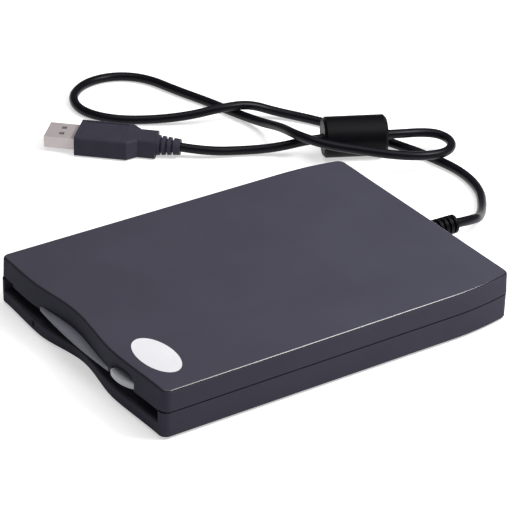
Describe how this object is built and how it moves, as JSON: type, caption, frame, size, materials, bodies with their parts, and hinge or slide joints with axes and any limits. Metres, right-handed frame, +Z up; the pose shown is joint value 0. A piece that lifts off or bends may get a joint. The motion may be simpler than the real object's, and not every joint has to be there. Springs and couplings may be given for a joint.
{
  "type": "external floppy disk drive",
  "caption": "Slim external drive for 3.5-inch disks: two-shell casing with a wavy front, slot with dust flap, eject button, loading mechanism and captive cable with bead and plug.",
  "frame": {"origin": "on the table, under the middle of the drive with its feet and eject button, without the cable", "axes": "+Z up, +Y from the front slot to the rear where the cable leaves, +X to the right seen from the front"},
  "size_m": [0.2335, 0.199, 0.0175],
  "materials": {
    "casing_abs": "fine spark-eroded black ABS, satin",
    "lip_abs": "grey ABS, satin",
    "button_abs": "light grey ABS, satin",
    "flap_plastic": "black acetal, smooth",
    "label_film": "white polyester label, bare",
    "light_window": "smoked clear acrylic",
    "rubber": "moulded rubber",
    "zinc_sheet": "zinc-plated sheet steel",
    "steel": "plated steel",
    "spring_steel": "bright spring wire",
    "black_screw": "black zinc-plated steel",
    "board_green": "glass-epoxy board with green solder mask",
    "chip_black": "moulded epoxy package",
    "led_epoxy": "diffused epoxy",
    "copper_coil": "enamelled copper winding",
    "bronze": "sintered bronze",
    "magnet": "bonded ferrite magnet",
    "rotor_steel": "plated pressed steel",
    "white_acetal": "natural acetal",
    "die_cast": "die-cast aluminium",
    "ceramic_head": "polished ceramic shoe",
    "flat_cable": "white polyester flat cable",
    "cable_pvc": "soft black PVC, satin",
    "ferrite": "sintered ferrite",
    "plug_shell_metal": "nickel-plated folded steel",
    "tongue_plastic": "white thermoplastic",
    "gold_contact": "gold-plated contact"
  },
  "bodies": {
    "casing": {"top_cover": "casing_abs", "bottom_cover": "casing_abs", "front_bezel": "lip_abs", "flap_spring": "spring_steel", "light_pipe": "light_window", "oval_label": "label_film", "rubber_feet": "rubber", "case_screws": "black_screw", "mechanism_screws": "black_screw", "board_screws": "steel", "chassis": "zinc_sheet", "drive_lid": "zinc_sheet", "slide_springs": "spring_steel", "switch_housings": "chip_black", "main_board": "board_green", "board_chips": "chip_black", "status_led": "led_epoxy", "stator_coils": "copper_coil", "spindle_bearing": "bronze", "guide_rods": "steel", "rod_clips": "zinc_sheet", "stepper_motor": "steel", "interface_board": "board_green", "interface_chips": "chip_black", "ribbon_cable": "flat_cable", "strain_relief": "cable_pvc", "usb_cord": "cable_pvc", "ferrite_jacket": "cable_pvc", "ferrite_core": "ferrite", "plug_overmould": "cable_pvc", "plug_shell": "plug_shell_metal", "plug_tongue": "tongue_plastic", "plug_contacts": "gold_contact"},
    "slide": {"slide_plate": "zinc_sheet", "eject_button": "button_abs"},
    "holder": {"disk_holder": "zinc_sheet", "holder_pins": "steel", "lever_pin": "steel", "lever_spring": "spring_steel"},
    "lever": {"shutter_lever": "zinc_sheet"},
    "flap": {"dust_flap": "flap_plastic"},
    "spindle": {"spindle_rotor": "rotor_steel", "chucking_magnet": "magnet", "drive_pin": "steel"},
    "carriage": {"head_carriage": "die_cast", "lower_head": "ceramic_head", "arm_pin": "steel"},
    "upper_arm": {"upper_head_arm": "zinc_sheet", "upper_head": "ceramic_head"},
    "lead_screw": {"lead_screw": "steel"},
    "write_protect": {"write_protect_plunger": "white_acetal"},
    "density": {"density_plunger": "white_acetal"},
    "disk_in": {"disk_in_plunger": "white_acetal"}
  },
  "joints": [
    {"name": "eject_slide", "type": "slide", "parent": "casing", "child": "slide", "axis": [0, 1, 0], "range_m": [-0.004, 0]},
    {"name": "holder_lift", "type": "slide", "parent": "casing", "child": "holder", "axis": [0, 0, 1], "range_m": [-0.0018, 0]},
    {"name": "lever_turn", "type": "hinge", "parent": "holder", "child": "lever", "pos_m": [0.0315, 0.03033, 0.0105], "axis": [0, 0, 1], "range_deg": [-74, 0], "stiffness_Nm_per_rad": 0.002},
    {"name": "flap_hinge", "type": "hinge", "parent": "casing", "child": "flap", "pos_m": [0, -0.06317, 0.0098], "axis": [1, 0, 0], "range_deg": [0, 88], "stiffness_Nm_per_rad": 0.002},
    {"name": "spindle_spin", "type": "hinge", "parent": "casing", "child": "spindle", "pos_m": [0, -0.01418, 0.0034], "axis": [0, 0, 1], "continuous": true},
    {"name": "carriage_slide", "type": "slide", "parent": "casing", "child": "carriage", "axis": [0, -1, 0], "range_m": [0, 0.0148]},
    {"name": "lead_screw_turn", "type": "hinge", "parent": "casing", "child": "lead_screw", "pos_m": [0.022, 0.04433, 0.008], "axis": [0, 1, 0], "range_deg": [0, 1421]},
    {"name": "head_load", "type": "hinge", "parent": "carriage", "child": "upper_arm", "pos_m": [0, 0.05233, 0.0102], "axis": [1, 0, 0], "range_deg": [0, 7.6]},
    {"name": "write_protect_press", "type": "slide", "parent": "casing", "child": "write_protect", "axis": [0, 0, -1], "range_m": [0, 0.0011], "stiffness_N_per_m": 100},
    {"name": "density_press", "type": "slide", "parent": "casing", "child": "density", "axis": [0, 0, -1], "range_m": [0, 0.0011], "stiffness_N_per_m": 100},
    {"name": "disk_in_press", "type": "slide", "parent": "casing", "child": "disk_in", "axis": [0, 0, -1], "range_m": [0, 0.0011], "stiffness_N_per_m": 100}
  ],
  "couplings": [
    {"joint": "holder_lift", "follows": "eject_slide", "ratio": 0.45},
    {"joint": "head_load", "follows": "eject_slide", "rad_per_m": -33.1},
    {"joint": "lead_screw_turn", "follows": "carriage_slide", "rad_per_m": 1675.5}
  ]
}
